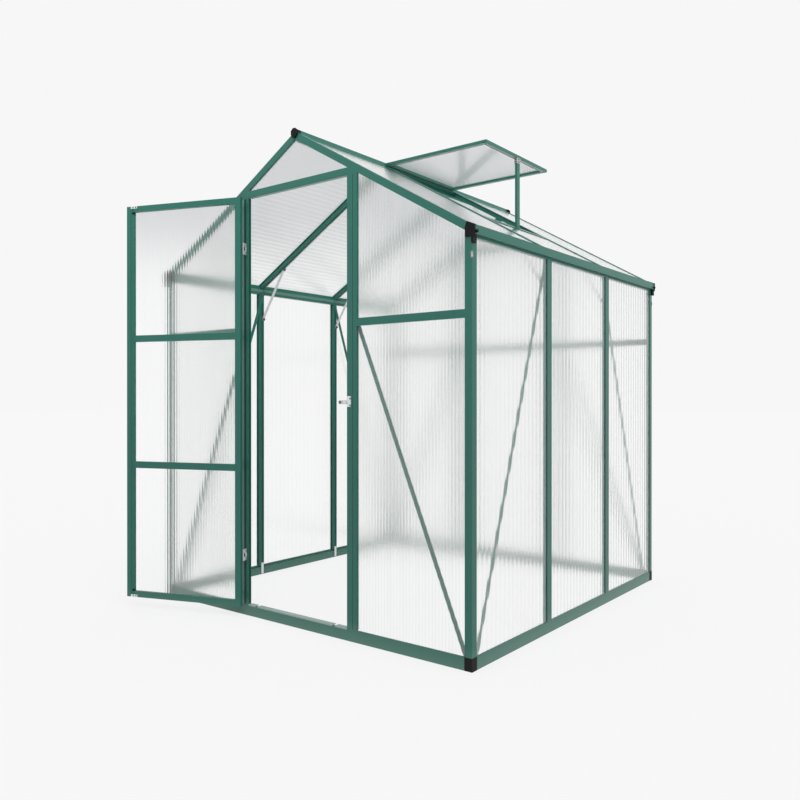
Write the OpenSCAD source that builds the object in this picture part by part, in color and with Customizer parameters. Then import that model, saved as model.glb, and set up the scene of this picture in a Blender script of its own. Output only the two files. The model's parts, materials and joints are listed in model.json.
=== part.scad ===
// Walk-in greenhouse with an apex roof.
// Aluminium glazing bars hold twin-wall sheets in grooves. One gable has an
// outward-opening door, and one roof bay has a vent sash propped on a stay.
// The front gable faces -Y, and Z = 0 is the ground.

/* [House] */
// Width over the side wall frames
house_w = 1828; // [1700:4:2000]
// Length over the gable frames
house_l = 1830; // [1740:10:2400]
// Height of the wall plane's top edge, at the gutters
eave_h = 1634; // [1600:1:1750]
// Height of the roof plane at the ridge
ridge_h = 2165; // [2120:1:2300]
// Bays along each side wall
bays = 3; // [3:1:4]

/* [Bars] */
// Depth of every wall and roof bar, inwards from its outer face
frame_d = 24; // [22:1:30]
// Thickness of the outer glazing caps
cap_t = 3; // [2:0.5:4]
// Thickness of the inner glazing lips
lip_t = 2; // [1.5:0.5:3]
// Face width of the corner posts
post_w = 32; // [30:1:40]
// Face width of the studs and roof bars
bar_w = 38; // [30:1:44]
// Width of the box behind a bar's cap
box_w = 28; // [22:1:32]
// Thickness of the web between two sheets
web_t = 6; // [4:1:8]
// Face width of the gable rakes
rake_w = 30; // [28:1:38]
// Depth of the grooves that the sheets sit in
groove = 10; // [8:1:11]

/* [Base] */
// Height of the base rails
base_h = 50; // [40:1:60]
// Wall of the base rails' hollow
base_wall = 2.5; // [2:0.5:4]
// How far a foot cap stands proud of the rails
foot_proud = 1; // [0.5:0.5:2]

/* [Eaves] */
// Height of the gutter's outer face
gutter_h = 35; // [30:1:40]
// How far the gutter stands out from the wall
gutter_out = 12; // [10:1:16]
// Height of the eave beam's face under the gutter
beam_drop = 8; // [6:1:18]
// Wall of the gutter
gutter_wall = 2; // [1.5:0.5:3]

/* [End caps] */
// How far the end caps stand out past the gable faces
end_cap_t = 8; // [6:1:12]
// How far a cap laps past the bars that it closes
cap_lap = 3; // [2:0.5:5]
// Reach of an eave cap's face over the rake, inwards from the wall
eave_cap_in = 27; // [20:1:34]
// Height of an eave cap's face, down from the eave
eave_cap_h = 43; // [38:1:48]
// Height of an eave cap's leg, below the gutter
eave_leg_h = 32; // [20:1:40]
// Depth of an eave cap's leg, along the side wall
eave_leg_w = 16; // [12:1:24]
// Radius of the rainwater spouts
spout_r = 6; // [4:0.5:8]
// Length of the rainwater spouts
spout_l = 9; // [6:1:16]
// Half width of a ridge cap's face
ridge_cap_half = 18; // [14:1:24]
// Height of a ridge cap's face, down from the ridge
ridge_cap_h = 30; // [24:1:40]

/* [Ridge] */
// Half width of the ridge beam's web
ridge_half = 9; // [8:1:12]
// Half width over the ridge beam's wings
wing_half = 30; // [26:1:36]
// Height of the ridge beam's web, down from the ridge
ridge_drop = 40; // [34:1:50]
// Height of the ridge beam's nose over the roof plane's peak
nose_h = 10; // [8:1:14]

/* [Sheets] */
// Thickness of the twin-wall sheets
sheet_t = 4; // [4:0.5:6]
// Play between a sheet's edge and the bottom of its groove
sheet_play = 2; // [1:0.5:4]

/* [Gables] */
// Height of the mid rails' centre line
mid_rail_h = 1312; // [1200:1:1400]
// Face width of the mid rails
mid_rail_w = 32; // [28:1:38]
// Face width of the header over the doorway
header_w = 30; // [28:1:40]

/* [Doorway] */
// Clear width between the door posts
doorway_w = 607; // [560:1:680]
// Face width of the door posts
door_post_w = 54; // [40:1:60]
// Depth of the door posts' reveals, inwards from the posts' faces
reveal_d = 16; // [15:1:20]
// Width of the channel along each reveal
channel_w = 10; // [8:1:11]
// Depth of the channel, into the post
channel_deep = 8; // [4:1:12]

/* [Door] */
// How far the leaf laps over each door post
leaf_lap = 2.5; // [2:0.5:10]
// Gap between the closed leaf and the door posts' faces
leaf_gap = 7; // [7:0.5:12]
// Thickness of the leaf
leaf_t = 18; // [15:1:22]
// Height of the leaf's lower edge
leaf_foot = 49; // [40:1:60]
// Gap in height between the leaf and the header
leaf_head_gap = 3; // [0:0.5:10]
// Face width of the hinge stile
stile_w = 27; // [24:1:40]
// Face width of the shutting stile's tube
shut_tube_w = 22; // [18:1:30]
// Width of the sloping bead beside that tube
bead_w = 17; // [14:1:24]
// Face width of the leaf's top and bottom rails
end_rail_w = 28; // [24:1:36]
// Face width of the rails between the panes
cross_rail_w = 31; // [26:1:38]
// Panes, one over the other
leaf_panes = 3; // [2:1:4]
// Spacing of the rails between the panes
cross_rail_gap = 603; // [400:1:620]
// Angle that the leaf stands open
open_angle = 160; // [90:5:165]
// Height of a hinge
hinge_h = 52; // [40:1:70]
// Distance of each hinge's centre from the leaf's ends
hinge_inset = 232; // [150:1:350]
// Radius of the hinge knuckles
knuckle_r = 4; // [4:0.5:6]
// Radius of the hinge pins
pin_r = 2; // [2:0.25:3]
// Thickness of the hinge plates
hinge_t = 2; // [1.5:0.5:3]
// Width of the hinge plates on their faces
hinge_plate_w = 12; // [8:1:20]

/* [Catch] */
// Height of the catch
catch_z = 987; // [900:1:1100]
// Thickness of the catch plate
catch_t = 1.5; // [1:0.5:2]
// Width of the catch plate on the post
catch_w = 22; // [18:1:30]
// Height of the catch plate on the post
catch_h = 44; // [36:1:60]
// Length of the catch's arm, out from the post
catch_arm_l = 44; // [30:1:56]
// Height of the catch's arm
catch_arm_h = 12; // [8:1:20]
// Height of the arm's wide end
catch_end_h = 20; // [14:1:28]

/* [Vent] */
// Width of the sash, across the slope
sash_w = 590; // [500:5:640]
// Length of the sash, from the ridge
sash_l = 584; // [480:2:600]
// Thickness of the sash frame
sash_t = 14; // [12:1:18]
// Face width of the sash frame
sash_bar_w = 24; // [20:1:30]
// How far the sash lies below the top of the ridge
sash_drop = 5; // [0:0.5:5]
// Width of the stay
stay_w = 20; // [16:1:26]
// Thickness of the stay
stay_t = 8; // [6:1:12]
// Height of the silver bracket over the stay
bracket_h = 14; // [10:1:20]
// Wall of the bracket
bracket_t = 2; // [1.5:0.5:3]

/* [Braces] */
// Width of the diagonal braces
brace_w = 18; // [14:1:24]
// Thickness of braces, straps and clips
strap_t = 3; // [2:0.5:4]
// Width of the knee straps
knee_w = 16; // [12:1:20]
// Reach of a knee strap along the roof bar, inwards from the wall
knee_reach = 178; // [140:2:240]
// Depth of a knee strap's lower bolt below the eave
knee_drop = 192; // [150:2:240]
// Height of the clips at the studs' feet
clip_h = 62; // [50:1:70]
// Height of the clips' lower ends
clip_z = 4; // [2:1:10]

/* [Hidden] */

green = "#3f7f6a";
black = "#1d1f20";
silver = "silver";
clear_sheet = [0.86, 0.90, 0.92, 0.45];

eps = 0.01;
far = 3000;
half_w = house_w / 2;
front_y = -frame_d / 2;
back_y = front_y + house_l;
bay_l = house_l / bays;
pitch = atan((ridge_h - eave_h) / half_w);
slope_l = half_w / cos(pitch);

sheet_back = cap_t + sheet_t;
sheet_edge = groove - sheet_play;
foot_w = post_w + foot_proud;
beam_foot = eave_h - gutter_h - beam_drop;
drip = 7;
mitre_gap = 0.2;
cap_in = frame_d + 4;
nose_half = ridge_half * 2 / 3;

slot_w = 6;
slot_head_w = 12;
slot_head_t = 5;
slot_deep = 8;
bolt_line = frame_d - slot_deep;

opening_half = doorway_w / 2;
post_out = opening_half + door_post_w;
back_post_x = opening_half + door_post_w / 2;
header_h = eave_h + (half_w - post_out) * tan(pitch) - rake_w / cos(pitch);

leaf_w = doorway_w + 2 * leaf_lap;
leaf_h = header_h - leaf_head_gap - leaf_foot;
leaf_side_gap = knuckle_r + 1.5;
axis_x = -(opening_half + leaf_lap + leaf_side_gap);
axis_y = front_y - leaf_gap - leaf_t;
leaf_sheet_y = 5;
shut_stile_w = shut_tube_w + bead_w;
knuckle_gap = 0.4;
pin_play = 0.3;

vent_bay = floor(bays / 2);
vent_y1 = front_y + vent_bay * bay_l;
vent_y2 = vent_y1 + bay_l;
vent_mid = (vent_y1 + vent_y2) / 2;
sash_x1 = ridge_half;
sash_x2 = sash_x1 + sash_l;
sash_z = ridge_h - min(sash_drop, ridge_half * tan(pitch));
stay_x = sash_x2 - stay_t / 2 - bracket_t;
sill_u = (half_w - stay_x) / cos(pitch);

// ---- Places: each wall is drawn with X along it, Y inwards and Z up ----

module on_front() {
    translate([0, front_y, 0])
        children();
}

module on_back() {
    translate([0, back_y, 0])
        mirror([0, 1, 0])
            children();
}

module on_right() {
    translate([half_w, 0, 0])
        rotate([0, 0, 90])
            children();
}

module on_left() {
    mirror([1, 0, 0])
        on_right()
            children();
}

module both_sides() {
    children();
    mirror([1, 0, 0])
        children();
}

// Right roof slope: X runs down to the eave at X = 0, and Z is out of the roof
module on_slope() {
    translate([half_w, 0, eave_h])
        rotate([0, pitch, 0])
            children();
}

// An upright piece with its section in X (width) and Y (depth)
module upright(x, z1, z2) {
    translate([x, 0, z1])
        linear_extrude(z2 - z1)
            children();
}

// A level piece with its section in X (height) and Y (depth)
module level(x1, x2, z) {
    translate([x2, 0, z])
        rotate([0, -90, 0])
            linear_extrude(x2 - x1)
                children();
}

// A piece up the slope with its section in X (along the house) and Y (depth)
module up_slope(y, u1, u2) {
    translate([-u1, y, 0])
        rotate([-90, 0, 90])
            linear_extrude(u2 - u1)
                children();
}

// Everything over the plane that lies deep under the roof plane
module over_slope(deep) {
    both_sides()
        on_slope()
            translate([-far / 2, -far / 2, -deep])
                cube([far, 2 * far, far]);
}

// The band of the right half between two distances from the middle
module between_x(x1, x2) {
    translate([x1, -far, 0])
        cube([x2 - x1, 3 * far, far]);
}

// A flat bar between two points of a wall's face, with round ends
module flat_bar(p1, p2, w, t) {
    run = p2 - p1;
    translate([p1[0], 0, p1[1]])
        rotate([90, -atan2(run[1], run[0]), 0])
            linear_extrude(t) {
                translate([0, -w / 2])
                    square([norm(run), w]);
                circle(d = w, $fn = 32);
                translate([norm(run), 0])
                    circle(d = w, $fn = 32);
            }
}

// ---- Sections ----

// Bolt slot that opens to the inside of the house
module bolt_slot() {
    translate([-slot_w / 2, frame_d - slot_deep])
        square([slot_w, slot_deep + eps]);
    translate([-slot_head_w / 2, frame_d - slot_deep])
        square([slot_head_w, slot_head_t]);
}

// Bar between two sheets: cap, web and slotted box
module bar_section(w) {
    bar_face(w);
    difference() {
        bar_box();
        bolt_slot();
    }
}

// Cap and web of a bar
module bar_face(w) {
    translate([-w / 2, 0])
        square([w, cap_t]);
    translate([-web_t / 2, 0])
        square([web_t, frame_d / 2]);
}

module bar_box() {
    translate([-box_w / 2, sheet_back])
        square([box_w, frame_d - sheet_back]);
}

// Edge member of width w, solid from X = 0, with a groove along its far edge
module edge_section(w, d) {
    square([w, cap_t]);
    square([w - groove, d]);
    translate([0, sheet_back])
        square([w, lip_t]);
}

// ---- Base ----

module base_section() {
    difference() {
        edge_section(base_h, frame_d);
        translate([base_wall, base_wall])
            square([base_h - groove - 2 * base_wall, frame_d - 2 * base_wall]);
    }
}

module gable_base_rail() {
    color(green)
        level(-half_w + foot_w, half_w - foot_w, 0)
            base_section();
}

module side_base_rail() {
    color(green)
        level(front_y + foot_w, back_y - foot_w, 0)
            base_section();
}

module base_rail_front() {
    on_front()
        gable_base_rail();
}

module base_rail_back() {
    on_back()
        gable_base_rail();
}

module base_rail_left() {
    on_left()
        side_base_rail();
}

module base_rail_right() {
    on_right()
        side_base_rail();
}

// Groove of a base rail, run on through a foot cap
module foot_groove() {
    translate([-eps, foot_proud + cap_t, base_h - groove])
        cube([foot_w - post_w + groove, sheet_t, groove + eps]);
}

module foot_cap() {
    side = foot_w + foot_proud;
    translate([half_w - foot_w, -foot_proud, 0])
        difference() {
            cube([side, side, base_h]);
            translate([-eps, frame_d + foot_proud, -eps])
                cube([foot_w - frame_d + eps, foot_w, base_h + 2 * eps]);
            foot_groove();
            translate([side, side, 0])
                mirror([1, 1, 0])
                    foot_groove();
        }
}

module foot_caps() {
    color(black)
        both_sides() {
            on_front()
                foot_cap();
            on_back()
                foot_cap();
        }
}

// ---- Posts and studs ----

// Corner post: a box at the corner with a groove for each wall's sheet
module post_section() {
    square([post_w, cap_t]);
    square([cap_t, post_w]);
    square([post_w - groove, post_w - groove]);
    translate([0, sheet_back])
        square([post_w, lip_t]);
    translate([sheet_back, 0])
        square([lip_t, post_w]);
}

module corner_post() {
    difference() {
        upright(half_w, base_h, eave_h)
            mirror([1, 0])
                post_section();
        translate([0, -front_y, 0])
            over_slope(rake_w);
    }
}

module corner_posts() {
    color(green)
        both_sides() {
            on_front()
                corner_post();
            on_back()
                corner_post();
        }
}

module wall_studs() {
    color(green)
        for (i = [1 : bays - 1])
            upright(front_y + i * bay_l, base_h, beam_foot)
                bar_section(bar_w);
}

module wall_studs_left() {
    on_left()
        wall_studs();
}

module wall_studs_right() {
    on_right()
        wall_studs();
}

// Edge member whose doorway side has an open channel, and a rebate behind it
module door_post_section() {
    difference() {
        edge_section(door_post_w, frame_d);
        translate([-eps, cap_t])
            square([channel_deep + eps, channel_w]);
        translate([-eps, reveal_d])
            square([groove + eps, frame_d]);
    }
}

module door_post() {
    difference() {
        upright(opening_half, base_h, ridge_h)
            door_post_section();
        translate([0, -front_y, 0])
            over_slope(rake_w);
    }
}

module door_post_right() {
    color(green)
        on_front()
            door_post();
}

module door_post_left() {
    mirror([1, 0, 0])
        door_post_right();
}

module back_post() {
    difference() {
        upright(back_post_x, base_h, ridge_h)
            bar_section(bar_w);
        translate([0, -front_y, 0])
            over_slope(rake_w);
    }
}

module back_posts() {
    color(green)
        both_sides()
            on_back()
                back_post();
}

// ---- Eaves ----

// Section of the eave beam: X is out from the wall's face, Y is up from the eave
module beam_section() {
    top_out = -sheet_back / cos(pitch);
    top_in = top_out + frame_d * tan(pitch);
    foot = -gutter_h - beam_drop;
    difference() {
        polygon([
            [0, foot],
            [0, top_out],
            [-frame_d, top_in],
            [-frame_d, foot]
        ]);
        translate([-sheet_back, foot - eps])
            square([sheet_t, groove]);
    }
}

module trough_section() {
    rim = -sheet_back / cos(pitch) - gutter_wall * tan(pitch);
    difference() {
        translate([0, -gutter_h])
            square([gutter_out, gutter_h]);
        translate([gutter_wall, gutter_wall - gutter_h])
            square([gutter_out - 2 * gutter_wall, gutter_h]);
        translate([-eps, rim])
            square([gutter_wall + 2 * eps, gutter_h]);
    }
    translate([gutter_out, gutter_wall - gutter_h])
        circle(r = gutter_wall, $fn = 24);
}

// A member along the eave with its section in X (out of the wall) and Y (up)
module along_eave(y1, y2) {
    translate([half_w, y2, eave_h])
        rotate([90, 0, 0])
            linear_extrude(y2 - y1)
                children();
}

module eave_gutter_right() {
    color(green) {
        along_eave(front_y + post_w, back_y - post_w)
            beam_section();
        along_eave(front_y, back_y)
            trough_section();
    }
}

module eave_gutter_left() {
    mirror([1, 0, 0])
        eave_gutter_right();
}

// Face of an eave cap: X is out from the wall's face, Y is up from the eave
module eave_cap_face() {
    shoulder = eave_cap_in - rake_w * sin(pitch) / 2;
    polygon([
        [-eave_cap_in, -eave_cap_h],
        [gutter_out + cap_lap, -eave_cap_h],
        [gutter_out + cap_lap, cap_lap - gutter_out * tan(pitch) / 2],
        [-shoulder, cap_lap + shoulder * tan(pitch)],
        [-eave_cap_in, -cap_lap * 3]
    ]);
}

module eave_cap() {
    translate([half_w, 0, eave_h])
        rotate([90, 0, 0])
            linear_extrude(end_cap_t)
                eave_cap_face();
    translate([half_w, -end_cap_t, eave_h - gutter_h - eave_leg_h])
        cube([gutter_out - gutter_wall, end_cap_t + eave_leg_w, eave_leg_h - eps]);
    translate([half_w + gutter_out, spout_r, eave_h - gutter_h + 2 * gutter_wall + spout_r])
        rotate([0, 90, 0])
            cylinder(r = spout_r, h = spout_l, $fn = 32);
}

module eave_caps() {
    color(black)
        both_sides() {
            on_front()
                eave_cap();
            on_back()
                eave_cap();
        }
}

// ---- Gables ----

module header() {
    difference() {
        level(-opening_half, opening_half, header_h)
            edge_section(header_w, frame_d);
        translate([0, -front_y, 0])
            over_slope(rake_w);
    }
}

module door_header() {
    color(green)
        on_front()
            header();
}

// Rake: its face is in the gable, and its top cap holds the roof sheet's edge
module rake_section() {
    square([cap_t, rake_w]);
    square([cap_in, cap_t]);
    translate([0, sheet_back])
        square([frame_d, rake_w - groove - sheet_back]);
    translate([sheet_back, rake_w - groove - eps])
        square([lip_t, groove + eps]);
}

module rakes() {
    both_sides()
        intersection() {
            on_slope()
                up_slope(0, -rake_w, slope_l + rake_w)
                    rake_section();
            between_x(mitre_gap / 2, half_w);
        }
}

module gable_rakes_front() {
    color(green)
        on_front()
            rakes();
}

module gable_rakes_back() {
    color(green)
        on_back()
            rakes();
}

module mid_rails_front() {
    color(green)
        both_sides()
            on_front()
                level(post_out, half_w - post_w, mid_rail_h)
                    bar_section(mid_rail_w);
}

module mid_rails_back() {
    color(green)
        on_back() {
            both_sides()
                level(back_post_x + bar_w / 2, half_w - post_w, mid_rail_h)
                    bar_section(mid_rail_w);
            level(bar_w / 2 - back_post_x, back_post_x - bar_w / 2, mid_rail_h)
                bar_section(mid_rail_w);
        }
}

module back_header() {
    color(green)
        on_back()
            difference() {
                level(bar_w / 2 - back_post_x, back_post_x - bar_w / 2, header_h + header_w / 2)
                    bar_section(mid_rail_w);
                translate([0, -front_y, 0])
                    over_slope(rake_w);
            }
}

// ---- Braces, straps and clips ----

module gable_brace() {
    head = [post_out - brace_w / 2, mid_rail_h - brace_w];
    foot = [half_w - post_w - brace_w / 2, base_h - brace_w / 2];
    translate([0, frame_d + strap_t, 0])
        flat_bar(head, foot, brace_w, strap_t);
}

module braces_front() {
    color(green)
        both_sides()
            on_front()
                gable_brace();
}

module braces_back() {
    color(green)
        both_sides()
            on_back()
                gable_brace();
}

module side_braces() {
    head_z = beam_foot + brace_w / 2;
    foot_z = base_h - brace_w / 2;
    foot_in = post_w + 2 * brace_w;
    head_in = bay_l + brace_w / 2;
    color(green)
        translate([0, frame_d + strap_t, 0]) {
            flat_bar([front_y + foot_in, foot_z], [front_y + head_in, head_z], brace_w, strap_t);
            flat_bar([back_y - foot_in, foot_z], [back_y - head_in, head_z], brace_w, strap_t);
        }
}

module braces_left() {
    on_left()
        side_braces();
}

module braces_right() {
    on_right()
        side_braces();
}

module knee_straps() {
    foot = [half_w - bolt_line, eave_h - knee_drop];
    head = [half_w - knee_reach, eave_h + knee_reach * tan(pitch) - bolt_line / cos(pitch)];
    color(silver)
        both_sides()
            for (i = [1 : bays - 1])
                translate([0, front_y + i * bay_l - box_w / 2, 0])
                    flat_bar(foot, head, knee_w, strap_t);
}

module stud_clips() {
    color(silver)
        for (i = [1 : bays - 1])
            both_sides()
                translate([half_w - frame_d - strap_t, front_y + i * bay_l - knee_w / 2, clip_z])
                    cube([strap_t, knee_w, clip_h]);
}

// ---- Ridge and roof bars ----

// Half of the ridge beam: two grooves' caps and lips on a web with a nose
module ridge_half_section() {
    cap_drop = cap_t / cos(pitch);
    lip_drop = (sheet_back + lip_t) / cos(pitch);
    groove_drop = sheet_back / cos(pitch);
    web_peak = -ridge_half * tan(pitch);
    wing_peak = -wing_half * tan(pitch);
    polygon([
        [0, -ridge_drop],
        [ridge_half, -ridge_drop],
        [ridge_half, web_peak - lip_drop],
        [wing_half, wing_peak - lip_drop],
        [wing_half, wing_peak - groove_drop],
        [ridge_half, web_peak - groove_drop],
        [ridge_half, web_peak - cap_drop],
        [wing_half, wing_peak - cap_drop],
        [wing_half, wing_peak],
        [ridge_half, web_peak],
        [nose_half, nose_h],
        [0, nose_h]
    ]);
}

module ridge_beam() {
    color(green)
        translate([0, back_y - cap_in, ridge_h])
            rotate([90, 0, 0])
                linear_extrude(house_l - 2 * cap_in) {
                    ridge_half_section();
                    mirror([1, 0])
                        ridge_half_section();
                }
}

module ridge_cap() {
    web_peak = -ridge_half * tan(pitch);
    translate([0, 0, ridge_h])
        rotate([90, 0, 0])
            linear_extrude(end_cap_t)
                polygon([
                    [-ridge_cap_half, cap_lap],
                    [-ridge_cap_half, -ridge_cap_h / 2],
                    [-ridge_cap_half / 3, -ridge_cap_h],
                    [ridge_cap_half / 3, -ridge_cap_h],
                    [ridge_cap_half, -ridge_cap_h / 2],
                    [ridge_cap_half, cap_lap],
                    [nose_half, nose_h + cap_lap],
                    [-nose_half, nose_h + cap_lap]
                ]);
    translate([0, cap_in, ridge_h])
        rotate([90, 0, 0])
            linear_extrude(cap_in)
                polygon([
                    [-ridge_half, web_peak],
                    [0, 0],
                    [ridge_half, web_peak],
                    [nose_half, nose_h],
                    [-nose_half, nose_h]
                ]);
}

module ridge_caps() {
    color(black) {
        on_front()
            ridge_cap();
        on_back()
            ridge_cap();
    }
}

// Past the wall frame, only a roof bar's cap runs on over the eave
module roof_bars() {
    color(green)
        for (i = [1 : bays - 1])
            intersection() {
                on_slope()
                    up_slope(front_y + i * bay_l, -drip, slope_l)
                        bar_section(bar_w);
                union() {
                    between_x(wing_half, half_w - frame_d);
                    difference() {
                        between_x(wing_half, house_w);
                        under_sheets();
                    }
                }
            }
}

// Everything on the right half that lies under the sheets' undersides
module under_sheets() {
    on_slope()
        translate([-far, -far, -far - sheet_back])
            cube([2 * far, 3 * far, far]);
}

module roof_bars_right() {
    roof_bars();
}

module roof_bars_left() {
    mirror([1, 0, 0])
        roof_bars();
}

// ---- Vent ----

module sill_section() {
    bar_face(bar_w);
    bar_box();
}

module vent_sill() {
    color(green)
        on_slope()
            translate([-sill_u, vent_y2 - bar_w / 2, 0])
                rotate([90, 0, 0])
                    linear_extrude(bay_l - bar_w)
                        mirror([0, 1])
                            sill_section();
}

module vent_sash() {
    color(green)
        translate([sash_x1, vent_mid - sash_w / 2, sash_z])
            difference() {
                cube([sash_l, sash_w, sash_t]);
                translate([sash_bar_w, sash_bar_w, -eps])
                    cube([sash_l - 2 * sash_bar_w, sash_w - 2 * sash_bar_w, sash_t + 2 * eps]);
                translate([sash_bar_w - groove, sash_bar_w - groove, sash_t / 2])
                    cube([sash_l - 2 * (sash_bar_w - groove), sash_w - 2 * (sash_bar_w - groove), sheet_t]);
            }
}

module vent_pane() {
    edge = sash_bar_w - sheet_edge;
    color(clear_sheet)
        translate([sash_x1 + edge, vent_mid - sash_w / 2 + edge, sash_z + sash_t / 2])
            cube([sash_l - 2 * edge, sash_w - 2 * edge, sheet_t]);
}

module vent_stay() {
    color(green)
        intersection() {
            translate([stay_x - stay_t / 2, vent_mid - stay_w / 2, eave_h])
                cube([stay_t, stay_w, sash_z - bracket_h - eave_h]);
            on_slope()
                translate([-far, -far / 2, 0])
                    cube([2 * far, 2 * far, far]);
        }
}

module vent_bracket() {
    side_x = stay_t + 2 * bracket_t;
    side_y = stay_w + 2 * bracket_t;
    color(silver)
        translate([stay_x - side_x / 2, vent_mid - side_y / 2, sash_z - bracket_h])
            cube([side_x, side_y, bracket_h]);
}

// ---- Sheets ----

// A sheet in a wall's plane between two X and two Z values
module wall_sheet(x1, x2, z1, z2) {
    translate([x1, cap_t, z1])
        cube([x2 - x1, sheet_t, z2 - z1]);
}

module side_sheets() {
    foot = base_h - sheet_edge;
    head = beam_foot + sheet_edge;
    stud_edge = web_t / 2 + sheet_play;
    color(clear_sheet)
        for (i = [0 : bays - 1])
            wall_sheet(
                front_y + i * bay_l + (i == 0 ? post_w - sheet_edge : stud_edge),
                front_y + (i + 1) * bay_l - (i == bays - 1 ? post_w - sheet_edge : stud_edge),
                foot, head
            );
}

module wall_sheets_right() {
    on_right()
        side_sheets();
}

module wall_sheets_left() {
    on_left()
        side_sheets();
}

// Keeps what lies under the rakes' sheet groove
module under_rakes() {
    difference() {
        children();
        translate([0, -front_y, 0])
            over_slope(rake_w - sheet_edge);
    }
}

module gable_side_sheets(x1) {
    rail_edge = web_t / 2 + sheet_play;
    x2 = half_w - post_w + sheet_edge;
    wall_sheet(x1, x2, base_h - sheet_edge, mid_rail_h - rail_edge);
    under_rakes()
        wall_sheet(x1, x2, mid_rail_h + rail_edge, ridge_h);
}

module gable_sheets_front() {
    apex_half = opening_half - sheet_play;
    color(clear_sheet)
        on_front() {
            both_sides()
                gable_side_sheets(post_out - sheet_edge);
            under_rakes()
                wall_sheet(-apex_half, apex_half, header_h + header_w - sheet_edge, ridge_h);
        }
}

module gable_sheets_back() {
    edge = web_t / 2 + sheet_play;
    side = back_post_x - edge;
    low_head = header_h + header_w / 2;
    color(clear_sheet)
        on_back() {
            both_sides()
                gable_side_sheets(back_post_x + edge);
            wall_sheet(-side, side, base_h - sheet_edge, mid_rail_h - edge);
            wall_sheet(-side, side, mid_rail_h + edge, low_head - edge);
            under_rakes()
                wall_sheet(-side, side, low_head + edge, ridge_h);
        }
}

// Roof sheet between two Y values, from its lower edge to an upper one
module roof_sheet(y1, y2, u2) {
    intersection() {
        on_slope()
            translate([-u2, y1, -sheet_back])
                cube([u2 + drip, y2 - y1, sheet_t]);
        between_x(ridge_half + sheet_play, house_w);
    }
}

module roof_sheets(with_vent) {
    bar_edge = web_t / 2 + sheet_play;
    color(clear_sheet)
        for (i = [0 : bays - 1])
            roof_sheet(
                front_y + i * bay_l + (i == 0 ? cap_t + sheet_play : bar_edge),
                front_y + (i + 1) * bay_l - (i == bays - 1 ? cap_t + sheet_play : bar_edge),
                with_vent && i == vent_bay ? sill_u - bar_edge : slope_l
            );
}

module roof_sheets_right() {
    roof_sheets(true);
}

module roof_sheets_left() {
    mirror([1, 0, 0])
        roof_sheets(false);
}

// ---- Door ----

// Drawn closed: X from the hinge side, Y inwards from the outer face, Z up
module on_leaf() {
    translate([axis_x, axis_y, 0])
        rotate([0, 0, -open_angle])
            translate([leaf_side_gap, 0, leaf_foot])
                children();
}

// Outer member of the leaf, of width w, with a slot for the panes in its far edge
module leaf_edge_section(w) {
    square([w - groove, leaf_t]);
    square([w, leaf_sheet_y]);
    translate([0, leaf_sheet_y + sheet_t])
        square([w, leaf_t - leaf_sheet_y - sheet_t]);
}

// Tube with an outer lip and a sloping bead, which hold the panes between them
module shut_stile_section() {
    bead_y = leaf_sheet_y + sheet_t;
    square([shut_tube_w, leaf_t]);
    square([shut_stile_w, leaf_sheet_y]);
    polygon([
        [shut_tube_w - eps, bead_y],
        [shut_stile_w, bead_y],
        [shut_stile_w, bead_y + lip_t],
        [shut_tube_w, leaf_t - lip_t],
        [shut_tube_w - eps, leaf_t - lip_t]
    ]);
}

module door_stiles() {
    color(green)
        on_leaf() {
            linear_extrude(leaf_h)
                leaf_edge_section(stile_w);
            translate([leaf_w, 0, 0])
                linear_extrude(leaf_h)
                    mirror([1, 0])
                        shut_stile_section();
        }
}

// Centre heights of the rails between the panes
function cross_rail_z(i) = leaf_h / 2 + (i - leaf_panes / 2) * cross_rail_gap;

module cross_rail_section() {
    translate([-cross_rail_w / 2, 0])
        square([cross_rail_w, leaf_sheet_y]);
    translate([-web_t / 2, 0])
        square([web_t, leaf_t]);
    translate([-cross_rail_w / 2, leaf_sheet_y + sheet_t])
        square([cross_rail_w, leaf_t - leaf_sheet_y - sheet_t]);
}

module door_rails() {
    color(green)
        on_leaf() {
            level(stile_w, leaf_w - shut_stile_w, 0)
                leaf_edge_section(end_rail_w);
            translate([0, 0, leaf_h])
                mirror([0, 0, 1])
                    level(stile_w, leaf_w - shut_stile_w, 0)
                        leaf_edge_section(end_rail_w);
            for (i = [1 : leaf_panes - 1])
                level(stile_w, leaf_w - shut_stile_w, cross_rail_z(i))
                    cross_rail_section();
        }
}

module door_panes() {
    x1 = stile_w - sheet_edge;
    x2 = leaf_w - shut_stile_w + sheet_edge;
    rail_edge = web_t / 2 + sheet_play;
    end_edge = end_rail_w - sheet_edge;
    color(clear_sheet)
        on_leaf()
            for (i = [0 : leaf_panes - 1]) {
                z1 = i == 0 ? end_edge : cross_rail_z(i) + rail_edge;
                z2 = i == leaf_panes - 1 ? leaf_h - end_edge : cross_rail_z(i + 1) - rail_edge;
                translate([x1, leaf_sheet_y, z1])
                    cube([x2 - x1, sheet_t, z2 - z1]);
            }
}

function hinge_z() = [leaf_foot + hinge_inset, leaf_foot + leaf_h - hinge_inset];

module knuckle(z1, z2) {
    translate([0, 0, z1])
        cylinder(r = knuckle_r, h = z2 - z1, $fn = 32);
}

// Post side: two knuckles, a pin and a cranked plate to the post's face
module door_hinge_brackets() {
    third = hinge_h / 3;
    crank = leaf_t + leaf_gap;
    color(silver)
        for (z = hinge_z())
            translate([axis_x, axis_y, z - hinge_h / 2]) {
                cylinder(r = pin_r, h = hinge_h, $fn = 24);
                for (z1 = [0, 2 * third + knuckle_gap]) {
                    knuckle(z1, z1 + third - knuckle_gap);
                    translate([-knuckle_r, 0, z1])
                        cube([hinge_t, crank, third - knuckle_gap]);
                }
                translate([hinge_t - knuckle_r - hinge_plate_w, crank - hinge_t, 0])
                    cube([hinge_plate_w, hinge_t, hinge_h]);
            }
}

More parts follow.
